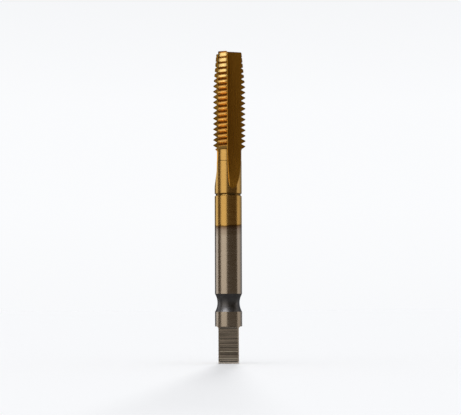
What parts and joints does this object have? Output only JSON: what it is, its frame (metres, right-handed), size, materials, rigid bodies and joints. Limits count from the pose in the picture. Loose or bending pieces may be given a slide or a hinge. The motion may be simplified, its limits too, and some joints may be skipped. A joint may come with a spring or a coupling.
{
  "type": "thread tap",
  "caption": "Straight-fluted machine tap that cuts a metric internal thread, with a gold hard coating on its cutting half and a square drive end.",
  "frame": {"origin": "centre of the drive square's end face, on the tap's axis", "axes": "+Z along the axis from the drive end to the tip; X and Y square to the drive flats"},
  "size_m": [0.0074, 0.0077, 0.0713],
  "materials": {
    "tool_steel": "ground high-speed steel, with a gold titanium nitride coating on the upper part"
  },
  "bodies": {
    "root": {"tap": "tool_steel"}
  },
  "joints": []
}
